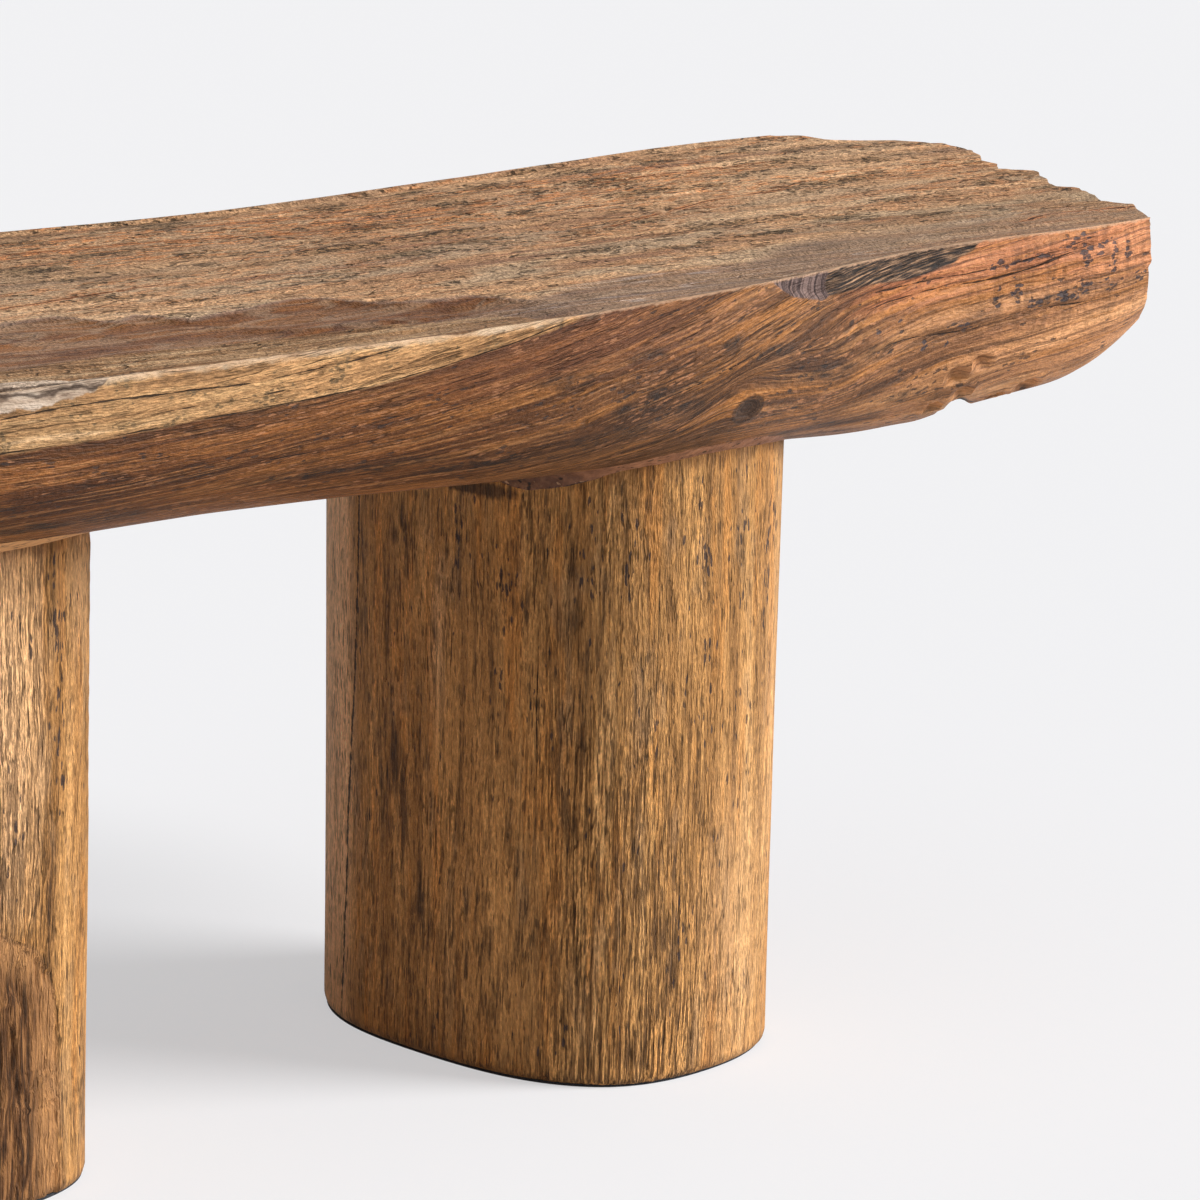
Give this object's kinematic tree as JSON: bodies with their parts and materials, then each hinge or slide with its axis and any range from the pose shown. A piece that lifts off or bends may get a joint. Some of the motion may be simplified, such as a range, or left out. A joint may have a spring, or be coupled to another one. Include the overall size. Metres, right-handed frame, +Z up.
{
  "type": "bench",
  "caption": "Rustic solid wood bench: a half-log seat slab with sawn, stepped ends, glued and dowelled onto two oval stump legs.",
  "frame": {"origin": "on the floor, under the middle of the bench's box", "axes": "+X along the seat to the sawn right end, +Y to the back, +Z up"},
  "size_m": [1.2, 0.4111, 0.4501],
  "materials": {
    "seat_wood": "weathered, open grain, matt oil",
    "leg_wood": "brushed open grain, matt oil",
    "joint_filler": "wood dust and glue, rough",
    "dowel_wood": "turned, bare",
    "felt": "pressed felt"
  },
  "bodies": {
    "root": {"seat_slab": "seat_wood", "leg_right": "leg_wood", "leg_left": "leg_wood", "joint_filler_right": "joint_filler", "joint_filler_left": "joint_filler", "dowel_right_1": "dowel_wood", "dowel_right_2": "dowel_wood", "dowel_right_3": "dowel_wood", "dowel_right_4": "dowel_wood", "dowel_left_1": "dowel_wood", "dowel_left_2": "dowel_wood", "dowel_left_3": "dowel_wood", "dowel_left_4": "dowel_wood", "foot_pad_right": "felt", "foot_pad_left": "felt"}
  },
  "joints": []
}
